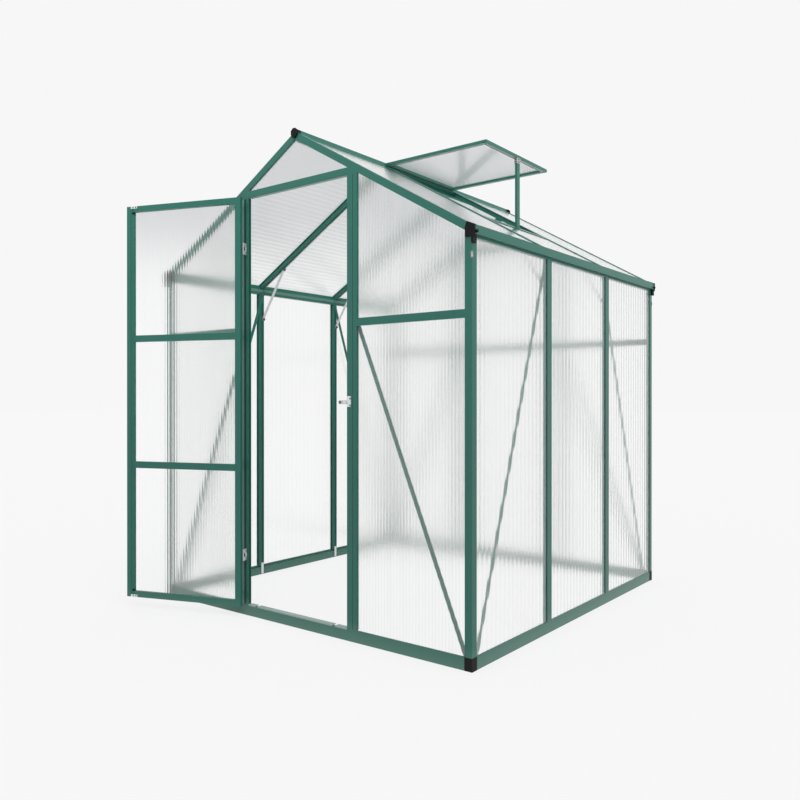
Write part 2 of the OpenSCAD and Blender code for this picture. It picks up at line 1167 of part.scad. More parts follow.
// Leaf side: the middle knuckle and a plate on the stile's outer face
module door_hinge_leaves() {
    third = hinge_h / 3;
    color(silver)
        for (z = hinge_z())
            translate([axis_x, axis_y, z - hinge_h / 2])
                rotate([0, 0, -open_angle])
                    difference() {
                        union() {
                            knuckle(third, 2 * third);
                            translate([0, -hinge_t, third])
                                cube([leaf_side_gap + hinge_plate_w, hinge_t, third]);
                        }
                        translate([0, 0, -eps])
                            cylinder(r = pin_r + pin_play, h = hinge_h + 2 * eps, $fn = 24);
                    }
}

// Catch plate on the right post, with an arm out into the doorway
module door_catch() {
    color(silver)
        translate([opening_half, front_y, catch_z])
            rotate([90, 0, 0])
                linear_extrude(catch_t) {
                    translate([0, -catch_h / 2])
                        square([catch_w, catch_h]);
                    translate([-catch_arm_l, -catch_arm_h / 2])
                        square([catch_arm_l + eps, catch_arm_h]);
                    translate([-catch_arm_l, -catch_end_h / 2])
                        square([catch_arm_h, catch_end_h]);
                }
}

base_rail_front();
base_rail_back();
base_rail_left();
base_rail_right();
foot_caps();
corner_posts();
wall_studs_left();
wall_studs_right();
eave_gutter_left();
eave_gutter_right();
eave_caps();
door_post_left();
door_post_right();
back_posts();
door_header();
back_header();
gable_rakes_front();
gable_rakes_back();
mid_rails_front();
mid_rails_back();
braces_front();
braces_back();
braces_left();
braces_right();
knee_straps();
stud_clips();
ridge_beam();
ridge_caps();
roof_bars_left();
roof_bars_right();
vent_sill();
vent_sash();
vent_pane();
vent_stay();
vent_bracket();
wall_sheets_left();
wall_sheets_right();
gable_sheets_front();
gable_sheets_back();
roof_sheets_left();
roof_sheets_right();
door_hinge_brackets();
door_catch();
door_stiles();
door_rails();
door_panes();
door_hinge_leaves();
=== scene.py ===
# Walk-in greenhouse: looks, fasteners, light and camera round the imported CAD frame
import json
import math

import bmesh
import bpy
from mathutils import Matrix, Vector


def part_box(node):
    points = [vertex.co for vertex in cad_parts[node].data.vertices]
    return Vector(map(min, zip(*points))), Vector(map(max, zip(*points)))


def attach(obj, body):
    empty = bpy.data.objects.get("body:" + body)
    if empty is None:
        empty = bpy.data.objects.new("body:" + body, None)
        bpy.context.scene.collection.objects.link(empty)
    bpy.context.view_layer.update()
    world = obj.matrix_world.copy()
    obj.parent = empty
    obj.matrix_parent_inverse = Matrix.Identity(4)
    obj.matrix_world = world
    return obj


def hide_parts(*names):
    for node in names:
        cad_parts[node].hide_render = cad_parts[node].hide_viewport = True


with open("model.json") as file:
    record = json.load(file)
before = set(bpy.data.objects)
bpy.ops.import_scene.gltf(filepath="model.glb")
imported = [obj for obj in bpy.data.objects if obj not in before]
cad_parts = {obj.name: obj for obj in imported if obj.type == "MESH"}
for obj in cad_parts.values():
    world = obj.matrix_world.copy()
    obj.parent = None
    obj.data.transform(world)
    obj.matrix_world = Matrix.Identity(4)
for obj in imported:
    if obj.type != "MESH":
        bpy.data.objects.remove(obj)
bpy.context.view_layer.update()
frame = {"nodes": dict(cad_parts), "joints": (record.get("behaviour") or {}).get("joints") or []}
print("frame loaded:", len(frame["nodes"]), "nodes")


# Nodes: a socket that takes part in sums, and one way to add a node

class Socket:  # a node's output, whose sums add Math nodes to its tree
    def __init__(self, tree, link):
        self.tree = tree
        self.link = link

    def out(self, name):  # another output of the same node
        return Socket(self.tree, self.link.node.outputs[name])

    def math(self, operation, *others):
        return addMath(self.tree, operation, self, *others)

    def __add__(self, other):
        return self.math("ADD", other)

    def __sub__(self, other):
        return self.math("SUBTRACT", other)

    def __mul__(self, other):
        return self.math("MULTIPLY", other)

    def __truediv__(self, other):
        return self.math("DIVIDE", other)

    def __pow__(self, other):
        return self.math("POWER", other)

    def __rsub__(self, other):
        return addMath(self.tree, "SUBTRACT", other, self)

    def __rtruediv__(self, other):
        return addMath(self.tree, "DIVIDE", other, self)

    def __rpow__(self, other):
        return addMath(self.tree, "POWER", other, self)

    __radd__ = __add__
    __rmul__ = __mul__


def addNode(tree, kind, settings=None, inputs=None):  # inputs: values, sockets or lists of sockets
    node = tree.nodes.new(kind)
    for name, value in (settings or {}).items():
        setattr(node, name, value)
    for name, value in (inputs or {}).items():
        if isinstance(value, Socket):
            tree.links.new(value.link, node.inputs[name])
        elif isinstance(value, list):  # several sockets joined in one
            for part in value:
                tree.links.new(part.link, node.inputs[name])
        else:
            node.inputs[name].default_value = value
    return Socket(tree, node.outputs[0]) if node.outputs else node


def addMath(tree, operation, *values):
    return addNode(tree, "ShaderNodeMath", {"operation": operation}, dict(enumerate(values)))


def newMaterial(name):
    material = bpy.data.materials.new(name)
    material.use_nodes = True
    tree = material.node_tree
    tree.nodes.clear()
    return material, tree


def finishMaterial(tree, shader):
    addNode(tree, "ShaderNodeOutputMaterial", None, {"Surface": shader})


def placeOf(tree):
    return addNode(tree, "ShaderNodeTexCoord").out("Object")


def bumpOf(tree, strength, distance, height):
    inputs = {"Strength": strength, "Distance": distance, "Height": height}
    return addNode(tree, "ShaderNodeBump", None, inputs)


def noise(tree, place, scale, detail=2.0, roughness=0.5):
    inputs = {"Vector": place, "Scale": scale, "Detail": detail, "Roughness": roughness}
    return addNode(tree, "ShaderNodeTexNoise", None, inputs)


def mixColour(tree, factor, first, second):
    inputs = {0: factor, 6: first, 7: second}
    return addNode(tree, "ShaderNodeMix", {"data_type": "RGBA"}, inputs).out(2)


def vectorMath(tree, operation, inputs):
    return addNode(tree, "ShaderNodeVectorMath", {"operation": operation}, inputs)


def stretched(tree, place, scale):  # a place squeezed along each axis
    return addNode(tree, "ShaderNodeMapping", None, {"Vector": place, "Scale": scale})


# Powder-coated frame

coat = {
    "deep": (0.009, 0.106, 0.079, 1),
    "pale": (0.018, 0.165, 0.122, 1),  # painted light on the upper members, most at the roof
    # painted light: from here up the colour turns from deep to pale
    "paintedLightFrom": 1.0,  # metres up
    "paintedLightShare": 0.7,
    "paleCut": 0.1,
    "cloudScale": 2.6,
    "cloudShare": 0.3,
    "drawnScale": (60, 60, 3),  # streaks along upright bars
    "dustAndFootLight": (0.085, 0.190, 0.150, 1),  # random dust, and painted light over the foot of the frame
    "dustScale": 9.0,
    "dustShare": 0.24,
    "dustCut": 0.45,
    # painted light over the foot of the frame, up to this height
    "footLightHeight": 0.09,
    "footLightShare": 0.8,
    "roughness": 0.34,
    "roughnessSpread": 0.16,
    "gloss": 0.42,
    "peelScale": 420.0,
    "peelStrength": 0.6,
    "peelHeight": 0.00006,
}


def makeCoat(name, setting):
    material, tree = newMaterial(name)
    place = placeOf(tree)
    cloudy = noise(tree, place, setting["cloudScale"], 3.0)
    drawn = noise(tree, stretched(tree, place, setting["drawnScale"]), 1.0, 4.0, 0.6)
    peel = noise(tree, place, setting["peelScale"], 1.0)
    height = addNode(tree, "ShaderNodeSeparateXYZ", None, {0: place}).out("Z")
    # painted light: paler higher up, with a random cloudy tone
    paleness = (height - setting["paintedLightFrom"]) * setting["paintedLightShare"]
    paleness = paleness + (cloudy + drawn) * setting["cloudShare"] - setting["paleCut"]
    colour = mixColour(tree, paleness.math("MAXIMUM", 0.0), setting["deep"], setting["pale"])
    # painted light over the foot, in the dust colour, on top of random dust
    footLight = 1 - height / setting["footLightHeight"]
    dustAndLightShare = noise(tree, place, setting["dustScale"], 5.0, 0.65) - setting["dustCut"]
    dustAndLightShare = dustAndLightShare * setting["dustShare"]
    dustAndLightShare = dustAndLightShare.math("MAXIMUM", 0.0) + footLight.math("MAXIMUM", 0.0) * setting["footLightShare"]
    colour = mixColour(tree, dustAndLightShare, colour, setting["dustAndFootLight"])
    spread = setting["roughnessSpread"]
    finishMaterial(tree, addNode(tree, "ShaderNodeBsdfPrincipled", None, {
        "Base Color": colour,
        "Roughness": drawn * spread + (setting["roughness"] - spread / 2),
        "Specular IOR Level": setting["gloss"],
        "Normal": bumpOf(tree, setting["peelStrength"], setting["peelHeight"], peel),
    }))
    return material


highlightCoat = {  # painted highlights: pale strips where edges catch the light
    "deep": (0.22, 0.33, 0.29, 1),
    "pale": (0.32, 0.42, 0.38, 1),
    "dustAndFootLight": (0.30, 0.36, 0.33, 1),
    "gloss": 0.5,
}

softHighlightCoat = {  # softer painted highlights: the gutter's band and the face beside the doorway
    "deep": (0.075, 0.185, 0.15, 1),
    "pale": (0.13, 0.26, 0.215, 1),
    "gloss": 0.5,
}

shadeCoat = {  # painted shade: dark lines in the frame's own green, in gaps and beside edges
    "deep": (0.0015, 0.050, 0.034, 1),
    "pale": (0.003, 0.065, 0.046, 1),
    "dustAndFootLight": (0.01, 0.08, 0.06, 1),
    "gloss": 0.15,
    "roughness": 0.5,
}


# Moulded black end caps

moulded = {
    "colour": (0.004, 0.004, 0.0045, 1),
    "worn": (0.012, 0.012, 0.013, 1),
    "wornScale": 40.0,
    "roughness": 0.45,
    "roughnessSpread": 0.2,
    "gloss": 0.15,
    "grainScale": 900.0,
    "grainStrength": 0.5,
    "grainHeight": 0.00008,
}


def makeMoulded(name, setting):
    material, tree = newMaterial(name)
    place = placeOf(tree)
    patches = noise(tree, place, setting["wornScale"], 4.0)
    grain = noise(tree, place, setting["grainScale"])
    finishMaterial(tree, addNode(tree, "ShaderNodeBsdfPrincipled", None, {
        "Base Color": mixColour(tree, patches, setting["colour"], setting["worn"]),
        "Roughness": patches * setting["roughnessSpread"] + setting["roughness"],
        "Specular IOR Level": setting["gloss"],
        "Normal": bumpOf(tree, setting["grainStrength"], setting["grainHeight"], grain),
    }))
    return material


# Zinc-plated straps, hinges and fasteners

plated = {
    "bright": (0.64, 0.65, 0.66, 1),
    "dull": (0.42, 0.43, 0.44, 1),
    "metallic": 0.85,
    "roughness": 0.34,
    "roughnessSpread": 0.2,
    "spangleScale": 240.0,
    "spangleShare": 0.4,
    "brushedScale": (900, 900, 60),
    "brushedShare": 0.5,
    "brushedStrength": 0.4,
    "brushedHeight": 0.00005,
}

brightPlate = {  # galvanised straps and clips, whiter and less of a mirror
    "bright": (0.86, 0.87, 0.88, 1),
    "dull": (0.66, 0.67, 0.68, 1),
    "metallic": 0.45,
    "roughness": 0.42,
}

blackenedPlate = {
    "bright": (0.20, 0.20, 0.205, 1),
    "dull": (0.09, 0.09, 0.095, 1),
    "metallic": 0.6,
    "roughness": 0.45,
}


def makePlated(name, setting):
    material, tree = newMaterial(name)
    place = placeOf(tree)
    spangle = addNode(tree, "ShaderNodeTexVoronoi", None, {
        "Vector": place, "Scale": setting["spangleScale"],
    })
    brushed = noise(tree, stretched(tree, place, setting["brushedScale"]), 1.0, 3.0)
    shade = spangle * setting["spangleShare"] + brushed * setting["brushedShare"]
    spread = setting["roughnessSpread"]
    finishMaterial(tree, addNode(tree, "ShaderNodeBsdfPrincipled", None, {
        "Base Color": mixColour(tree, shade, setting["dull"], setting["bright"]),
        "Metallic": setting["metallic"],
        "Roughness": brushed * spread + (setting["roughness"] - spread / 2),
        "Normal": bumpOf(tree, setting["brushedStrength"], setting["brushedHeight"], brushed),
    }))
    return material


# Twin-wall sheets: clear walls whose flutes smear what lies behind them sideways

sheet = {
    "clear": (0.998, 0.999, 0.999, 1),
    "ribSharpness": 4.0,
    "ribShare": 0.7,
    "streakScale": 26.0,
    "streakShare": 0.5,
    "streakCut": 0.4,
    "uneven": 0.4,  # how much the flutes' slopes differ
    "ior": 1.30,
    "coatIor": 1.5,
    "coatRoughness": 0.22,
    "daylight": (0.975, 0.98, 0.98, 1),  # what the sheets let through to light the inside
}


def makeSheet(name, along, setting):
    material, tree = newMaterial(name)
    across = vectorMath(tree, "DOT_PRODUCT", {0: placeOf(tree), 1: along}).out("Value")
    turn = across * (2 * math.pi / setting["pitch"])
    wander = noiseAlong(tree, across, setting["streakScale"])
    rib = (turn.math("SINE") * 0.5 + 0.5) ** setting["ribSharpness"]
    share = rib * setting["ribShare"] + (wander - setting["streakCut"]) * setting["streakShare"]
    colour = mixColour(tree, share.math("MAXIMUM", 0.0), setting["clear"], setting["rib"])
    uneven = wander * setting["uneven"] + (1 - setting["uneven"] / 2)
    lean = turn.math("COSINE") * uneven * setting["slope"]
    glass = addNode(tree, "ShaderNodeBsdfPrincipled", None, {
        "Base Color": colour,
        "Roughness": setting["roughness"],
        "IOR": setting["ior"],
        "Transmission Weight": 1.0,
        "Coat Weight": 1.0,
        "Coat IOR": setting["coatIor"],
        "Coat Roughness": setting["coatRoughness"],
        "Normal": leaning(tree, along, lean),
    })
    lit = addNode(tree, "ShaderNodeBsdfTransparent", None, {"Color": setting["daylight"]})
    path = addNode(tree, "ShaderNodeLightPath")
    lighting = path.out("Is Shadow Ray").math("MAXIMUM", path.out("Is Diffuse Ray"))
    finishMaterial(tree, addNode(tree, "ShaderNodeMixShader", None, {0: lighting, 1: glass, 2: lit}))
    return material


def noiseAlong(tree, across, scale):  # streaks that change only across the flutes
    return addNode(tree, "ShaderNodeTexNoise", {"noise_dimensions": "1D"}, {
        "W": across, "Scale": scale, "Detail": 3.0, "Roughness": 0.6,
    })


def leaning(tree, along, lean):  # the surface's normal, leant along one direction by a slope
    surface = addNode(tree, "ShaderNodeNewGeometry")
    side = surface.out("Backfacing") * 2 - 1
    tilt = vectorMath(tree, "SCALE", {0: along, "Scale": lean * side})
    leant = vectorMath(tree, "ADD", {0: surface.out("Normal"), 1: tilt})
    return vectorMath(tree, "NORMALIZE", {0: leant})


# The door's hinge, and the direction across its panes at rest

joint = frame["joints"][0]
hinge = Vector(joint["pos_m"])
openAngle = math.radians(joint["range_deg"][1])
leafAlong = Vector((math.cos(openAngle), -math.sin(openAngle), 0))

# The finishes, and the nodes that aren't green

greenCoat = makeCoat("green_powder_coat", coat)
blackCap = makeMoulded("black_moulding", moulded)
# painted highlights and painted shade, for the strips on the frame
highlightTrim = makeCoat("painted_highlight", coat | highlightCoat)
softHighlightTrim = makeCoat("painted_soft_highlight", coat | softHighlightCoat)
zinc = makePlated("zinc_plate", plated)
galvanised = makePlated("galvanised_strap", plated | brightPlate)
darkPlate = makePlated("dark_fixing", plated | blackenedPlate)
shadeGreen = makeCoat("painted_shade", coat | shadeCoat)
gableSheet = makeSheet("gable_sheet", (1, 0, 0), sheet | {
    "pitch": 0.0155, "slope": 0.028, "roughness": 0.21, "rib": (0.92, 0.935, 0.93, 1),
})
sideSheet = makeSheet("side_sheet", (0, 1, 0), sheet | {
    "pitch": 0.0325, "slope": 0.028, "roughness": 0.15, "rib": (0.965, 0.975, 0.97, 1),
})
roofSheet = makeSheet("roof_sheet", (1, 0, 0), sheet | {
    "pitch": 0.024, "slope": 0.014, "roughness": 0.10, "rib": (0.89, 0.90, 0.90, 1), "coatIor": 1.4,
})
leafSheet = makeSheet("leaf_sheet", leafAlong, sheet | {
    "pitch": 0.0145, "slope": 0.065, "roughness": 0.19, "rib": (0.95, 0.96, 0.96, 1),
})

finishes = {
    "foot_caps": blackCap,
    "eave_caps": blackCap,
    "ridge_caps": blackCap,
    "stud_clips": galvanised,
    "door_hinge_brackets": zinc,
    "door_hinge_leaves": zinc,
    "wall_sheets_left": sideSheet,
    "wall_sheets_right": sideSheet,
    "gable_sheets_front": gableSheet,
    "gable_sheets_back": gableSheet,
    "roof_sheets_left": roofSheet,
    "roof_sheets_right": roofSheet,
    "vent_pane": roofSheet,
    "door_panes": leafSheet,
}

for name, node in frame["nodes"].items():
    node.data.materials.clear()
    node.data.materials.append(finishes.get(name, greenCoat))
print("finishes on", len(frame["nodes"]), "nodes")


# Shapes for the small pieces, which share one mesh for each finish and body

strapBevel = 0.3  # share of the thickness
plateBevel = 0.35
leastRound = 0.0001  # of a plate's corners
markThick = 0.0006  # slots and holes are shown by thin plates
sunk = 0.0002  # how far faces that would coincide are kept apart


def loft(shape, rings):  # skin over rings of points, closed at both ends
    rings = [[shape.verts.new(point) for point in ring] for ring in rings]
    count = len(rings[0])
    for lower, upper in zip(rings, rings[1:]):
        for i in range(count):
            after = (i + 1) % count
            shape.faces.new((lower[i], lower[after], upper[after], upper[i]))
    shape.faces.new(list(reversed(rings[0])))
    shape.faces.new(rings[-1])


# A flat bar bent along a path, its outer face on the side of its direction x across
def strap(shape, path, across, width, thick):
    half, edge = width / 2, min(width, thick) * strapBevel
    section = (
        (-half, 0), (-half, thick - edge), (edge - half, thick),
        (half - edge, thick), (half, thick - edge), (half, 0),
    )
    path = [Vector(point) for point in path]
    across = Vector(across).normalized()
    steps = [(b - a).normalized() for a, b in zip(path, path[1:])]
    rings = []
    for i, point in enumerate(path):
        before, after = steps[max(i - 1, 0)], steps[min(i, len(steps) - 1)]
        mitre = math.sqrt((1 + before.dot(after)) / 2)
        out = (before + after).cross(across).normalized() / max(0.5, mitre)
        rings.append([point + across * a + out * b for a, b in section])
    loft(shape, rings)


def rounded(width, height, radius):
    corners = []
    for turn, (x, y) in enumerate(((1, 1), (-1, 1), (-1, -1), (1, -1))):
        for step in range(4):
            angle = math.radians(90 * turn + 30 * step)
            corners.append((
                x * (width / 2 - radius) + radius * math.cos(angle),
                y * (height / 2 - radius) + radius * math.sin(angle),
            ))
    return corners


# A plate with round corners, its outer face on the side of across x up
def plate(shape, place, across, up, size, thick, radius):
    place, across, up = Vector(place), Vector(across).normalized(), Vector(up).normalized()
    out = across.cross(up)
    edge = thick * plateBevel
    rings = []
    for inset, level in ((0, 0), (0, thick - edge), (edge, thick)):
        outline = rounded(size[0] - 2 * inset, size[1] - 2 * inset, max(radius - inset, leastRound))
        rings.append([place + across * x + up * y + out * level for x, y in outline])
    loft(shape, rings)


# A turned shape from pairs of radius and height above its foot
def knob(shape, place, facing, profile, sides=16):
    place, facing = Vector(place), Vector(facing).normalized()
    across = facing.orthogonal().normalized()
    up = facing.cross(across)
    angles = [2 * math.pi * i / sides for i in range(sides)]
    spokes = [across * math.cos(angle) + up * math.sin(angle) for angle in angles]
    loft(shape, [
        [place + spoke * radius + facing * height for spoke in spokes] for radius, height in profile
    ])


def addPiece(name, shape, material, body, slotName, *nodes):  # nodes are those it stands for
    bmesh.ops.recalc_face_normals(shape, faces=shape.faces)
    mesh = bpy.data.meshes.new(name)
    shape.to_mesh(mesh)
    shape.free()
    mesh.materials.append(material)
    placePiece(name, mesh, body, slotName, *nodes)


def placePiece(name, mesh, body, slotName, *nodes):
    piece = bpy.data.objects.new(name, mesh)
    bpy.context.scene.collection.objects.link(piece)
    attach(piece, body)
    if nodes:
        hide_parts(*nodes)


# Where the small pieces go, from the frame's own boxes

postLow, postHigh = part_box("door_post_right")
cornerLow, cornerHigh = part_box("corner_posts")
studLow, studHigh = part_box("wall_studs_right")
sheetLow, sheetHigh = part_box("roof_sheets_right")
stilesLow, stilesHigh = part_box("door_stiles")
headerLow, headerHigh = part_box("door_header")
paneLow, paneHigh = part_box("vent_pane")
barHalf = 0.019  # half the cap of a stud or roof bar
studPlaces = (studLow.y + barHalf, studHigh.y - barHalf)
sheetThick = paneHigh.z - paneLow.z
frameDeep = postHigh.y - postLow.y

slope = math.atan2(sheetHigh.z - sheetLow.z, sheetHigh.x - sheetLow.x)
slope = math.atan2(  # once more, without the sheet's own thickness
    sheetHigh.z - sheetLow.z - sheetThick * math.cos(slope),
    sheetHigh.x - sheetLow.x - sheetThick * math.sin(slope),
)
roofOut = Vector((math.sin(slope), 0, math.cos(slope)))
roofDown = Vector((math.cos(slope), 0, -math.sin(slope)))
ridgeEdge = Vector((sheetLow.x + sheetThick * roofOut.x, 0, sheetHigh.z))


def underRoof(x, y, deep):  # a point so deep under the right slope's sheets
    top = ridgeEdge + roofDown * ((x - ridgeEdge.x) / roofDown.x)
    return Vector((top.x, y, top.z)) - roofOut * deep


barFoot = frameDeep - 0.003  # from a sheet's face to a roof bar's underside

# The open leaf's reach and depth from its hinge pins, and its own directions
leafFar = (hinge.x - stilesLow.x) / math.cos(math.pi - openAngle)
leafDeep = (hinge.y - stilesLow.y - leafFar * math.sin(openAngle)) / math.cos(math.pi - openAngle)
leafTurn = Matrix.Rotation(-openAngle, 3, "Z")
leafIn = leafTurn @ Vector((0, 1, 0))
leafGap = 0.0055  # from the hinge pins to the leaf
leafWide = leafFar - leafGap
leafTall = stilesHigh.z - stilesLow.z


def onLeaf(x, y, z):  # a point on the open door, from its hinge side's foot
    return hinge + leafTurn @ Vector((leafGap + x, y, 0)) + Vector((0, 0, stilesLow.z + z))


# Knee straps: bent bars from the studs up to the roof bars

kneeStrap = {
    "width": 0.017,
    "thick": 0.003,
    "foot": 0.160,  # below the corner posts' heads
    "tab": 0.014,
    "reach": 0.176,  # from the wall in to the roof bar
    "aside": 0.012,  # off the stud's middle
    "footHole": 0.45,  # along the tabs
    "headHole": 0.55,
}


def makeKneeStraps(setting, holes):
    shape = bmesh.new()
    thick, tab = setting["thick"], setting["tab"]
    for side in (-1, 1):
        mirror = Matrix.Diagonal((side, 1, 1))
        for stud in studPlaces:
            y = stud + setting["aside"]
            foot = Vector((studLow.x - sunk, y, cornerHigh.z - setting["foot"]))
            head = underRoof(studHigh.x - setting["reach"], y, barFoot + sunk)
            path = [foot - Vector((0, 0, tab)), foot, head, head - roofDown * tab]
            strap(shape, [mirror @ point for point in path], (0, -side, 0), setting["width"], thick)
            low = path[0] + Vector((-thick, 0, tab * setting["footHole"]))
            high = head - roofDown * tab * setting["headHole"] - roofOut * thick
            holes.append((mirror @ low, mirror @ Vector((-1, 0, 0))))
            holes.append((mirror @ high, mirror @ -roofOut))
    addPiece("knee_straps_bent", shape, galvanised, "house", "bright_metal", "knee_straps")


# Door catch: plate and boss on the post, and an arm out into the doorway

catch = {
    "thick": 0.0016,
    "round": 0.003,
    "boss": ((0.0095, 0), (0.0095, 0.0012), (0.006, 0.0022)),
    "bossIn": 0.009,  # from the plate's edge
    "armHeight": 0.015,
    "armRound": 0.004,
    "armOver": 0.006,  # how far the arm lies on the plate
    "armDrop": 0.003,
    "slot": (0.016, 0.0075),
    "slotRound": 0.0035,
    "slotPlace": (0.003, -0.0013, 0),
    "knobRadius": 0.0072,
    "knobHeight": 0.004,
    "knobShape": ((0.8, 0), (1, 0.2), (1, 0.75), (0.7, 1)),  # shares of these two
    "rivet": ((0.0042, -0.0002), (0.0042, 0.0012), (0.003, 0.002)),
    "rivetSides": 8,
    "rivetIn": 0.003,
    "rivetLevels": (0.012, -0.016),
}


def makeCatch(setting):
    low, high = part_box("door_catch")
    middle = (low.z + high.z) / 2
    side, up, out = Vector((1, 0, 0)), Vector((0, 0, 1)), Vector((0, -1, 0))
    thick = setting["thick"]
    raised = high.y - thick
    size = (high.x - postLow.x, high.z - low.z)

    shape = bmesh.new()
    centre = (postLow.x + size[0] / 2, high.y, middle)
    plate(shape, centre, side, up, size, thick, setting["round"])
    knob(shape, (high.x - setting["bossIn"], raised, middle), out, setting["boss"])
    addPiece("catch_plate", shape, galvanised, "house", "bright_metal", "door_catch")

    shape = bmesh.new()
    radius, height = setting["knobRadius"], setting["knobHeight"]
    tip = low.x + radius
    wide = postLow.x + setting["armOver"] - tip
    arm = Vector((tip + wide / 2, raised + 2 * sunk, middle - setting["armDrop"]))
    plate(shape, arm, side, up, (wide, setting["armHeight"]), thick, setting["armRound"])
    addPiece("catch_arm", shape, zinc, "house", "bright_metal")

    shape = bmesh.new()
    slot = arm + Vector(setting["slotPlace"])
    plate(shape, slot, side, up, setting["slot"], markThick, setting["slotRound"])
    addPiece("catch_slot", shape, galvanised, "house", "bright_metal")

    shape = bmesh.new()
    profile = [(radius * wide, height * tall) for wide, tall in setting["knobShape"]]
    knob(shape, (tip, high.y - sunk, arm.z), out, profile)
    for level in setting["rivetLevels"]:
        place = (high.x - setting["rivetIn"], raised, middle + level)
        knob(shape, place, out, setting["rivet"], setting["rivetSides"])
    addPiece("catch_knobs", shape, darkPlate, "house", "bright_metal")


# Clips on the corner posts' edges, each beside a dark plate of painted shadow

cornerClip = {
    "height": 0.027,
    "width": 0.008,
    "top": 0.079,  # below the post's head
    "thick": 0.0016,
    "in": 0.0025,  # from the corner's edge
    "lift": 0.0035,
    "bends": ((-1, 0), (-0.6, 1), (-0.1, 0.8), (1, 0)),  # half heights up and lifts out
    "screw": (-0.75, 0.8),  # half heights up and thicknesses out
    # painted shadow beside each clip: the size of its dark plate
    "hole": (0.006, 0.010),
    "shadowIn": 0.0085,
    "shadowRound": 0.002,
}


def makeCornerClips(setting, holes):
    shape, shade = bmesh.new(), bmesh.new()
    z = cornerHigh.z - setting["top"] - setting["height"] / 2
    up = Vector((0, 0, setting["height"] / 2))
    for side in (-1, 1):
        for y, way in ((cornerLow.y, -1), (cornerHigh.y, 1)):
            outside = Vector((side, way, 0)).normalized()
            across = Vector((0, 0, 1)).cross(outside)
            middle = Vector((side * cornerHigh.x, y, z)) - outside * setting["in"]
            lift = outside * setting["lift"]
            path = [middle + up * level + lift * share for level, share in setting["bends"]]
            strap(shape, path, across, setting["width"], setting["thick"])
            level, share = setting["screw"]
            holes.append((middle + up * level + outside * setting["thick"] * share, outside))
            # painted shadow: a dark plate on the post's face beside the clip
            beside = Vector((side * (cornerHigh.x - setting["shadowIn"]), y - way * sunk, z))
            size = setting["hole"]
            plate(shade, beside, (-way, 0, 0), (0, 0, 1), size, markThick, setting["shadowRound"])
    addPiece("corner_clips", shape, zinc, "house", "bright_metal")
    addPiece("corner_clip_shadows", shade, darkPlate, "house", "bright_metal")


# Screwed plates at the door's free corners, and black patches of painted shade beside them

leafCorner = {
    "length": 0.036,
    "height": 0.011,
    "thick": 0.0018,
    "round": 0.002,
    "in": 0.022,  # from the leaf's free edge
    "edge": 0.0005,  # from its top or foot
    "screws": (-0.3, 0.12),  # along the plate
    # painted shade: a black patch on the stile near each rail
    "shadePatch": (0.012, 0.008),
    "shadePatchIn": 0.034,
    "shadePatchEdge": 0.0325,
    "shadePatchDeep": 0.0044,
    "shadePatchThick": 0.0048,
}


def makeLeafCorners(setting, holes):
    plates, shadePatches = bmesh.new(), bmesh.new()
    along, up = leafTurn @ Vector((-1, 0, 0)), Vector((0, 0, 1))
    size, thick, edge = (setting["length"], setting["height"]), setting["thick"], setting["round"]
    x = leafWide - setting["in"] - setting["length"] / 2
    for end, way in ((0, 1), (leafTall, -1)):
        z = end + way * (setting["height"] / 2 + setting["edge"])
        plate(plates, onLeaf(x, leafDeep - sunk, z), along, up, size, thick, edge)
        for share in setting["screws"]:
            hole = onLeaf(x + setting["length"] * share, leafDeep + thick - 2 * sunk, z)
            holes.append((hole, leafIn))
        # painted shade where the stile meets the rail, as a black patch
        z = end + way * setting["shadePatchEdge"]
        corner = onLeaf(leafWide - setting["shadePatchIn"], leafDeep - setting["shadePatchDeep"], z)
        plate(shadePatches, corner, along, up, setting["shadePatch"], setting["shadePatchThick"], edge)
    addPiece("leaf_corner_plates", plates, galvanised, "door", "bright_metal")
    addPiece("leaf_corner_shade_patches", shadePatches, blackCap, "door", "black_cap")


# Roof vent's stay: a folded channel on the sill, in a slotted bracket under the sash

ventStay = {
    "width": 0.026,
    "deep": 0.012,
    "wall": 0.002,
    "footGap": 0.001,
    "past": 0.012,  # up into the bracket
    "bracketWidth": 0.036,
    "bracketHeight": 0.026,
    "bracketThick": 0.0015,
    "bracketRound": 0.003,
    "earGap": 0.0005,
    "earRound": 0.002,
    "capOver": 0.002,  # past the channel, front and back
    "slotLevels": (-0.006, 0.006),
    "slotWidth": 0.016,
    "sideSlotWidth": 0.007,
    "slotHeight": 0.004,
    "slotRound": 0.0018,
    "pegs": (0.19, 0.26),  # below the stay's head
    "peg": ((0.0035, 0), (0.0035, 0.003), (0.0024, 0.004)),
    "pegSides": 10,
}


